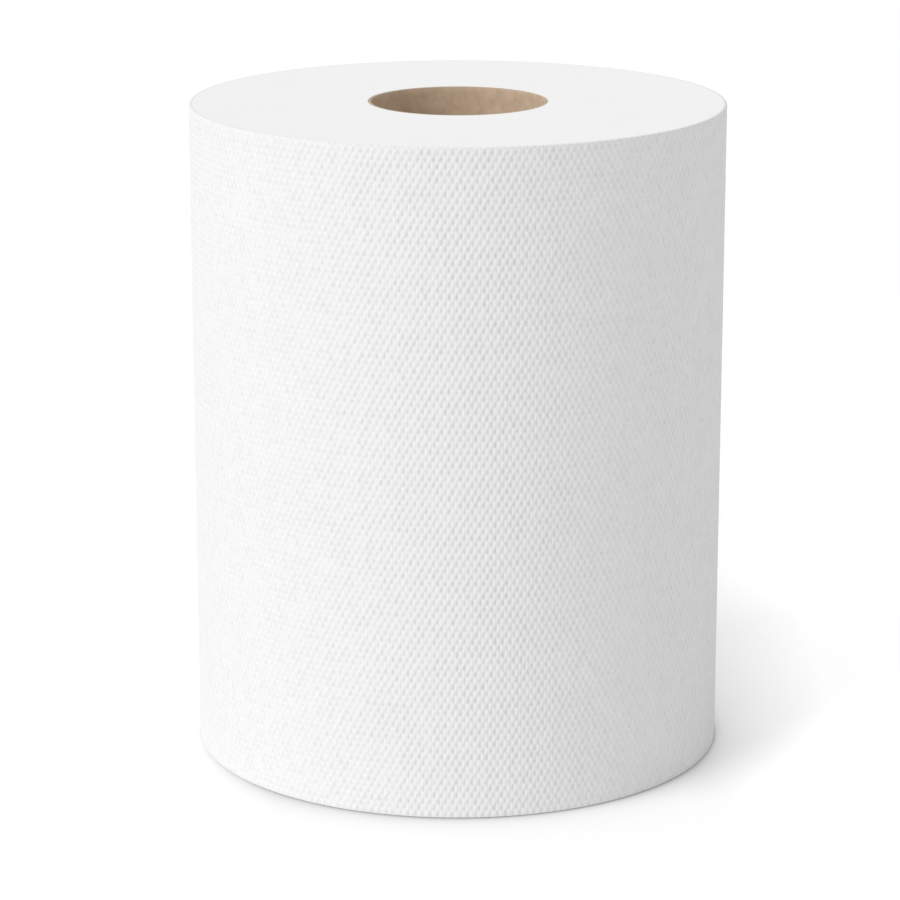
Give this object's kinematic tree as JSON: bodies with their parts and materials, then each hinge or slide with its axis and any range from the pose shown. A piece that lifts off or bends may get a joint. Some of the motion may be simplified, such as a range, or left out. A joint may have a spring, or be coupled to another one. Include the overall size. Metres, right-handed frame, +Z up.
{
  "type": "paper towel roll",
  "caption": "White embossed paper towel wound on a thin cardboard core, standing on its end.",
  "frame": {"origin": "centre of the end face that the roll stands on", "axes": "+Z up along the roll's axis, +Y towards the tail of the web at the back"},
  "size_m": [0.1648, 0.165, 0.203],
  "materials": {
    "paper": "matt white tissue, embossed with staggered rows of small round dimples",
    "cardboard": "plain brown kraft board, matt"
  },
  "bodies": {
    "root": {"paper_roll": "paper", "core_tube": "cardboard"}
  },
  "joints": []
}
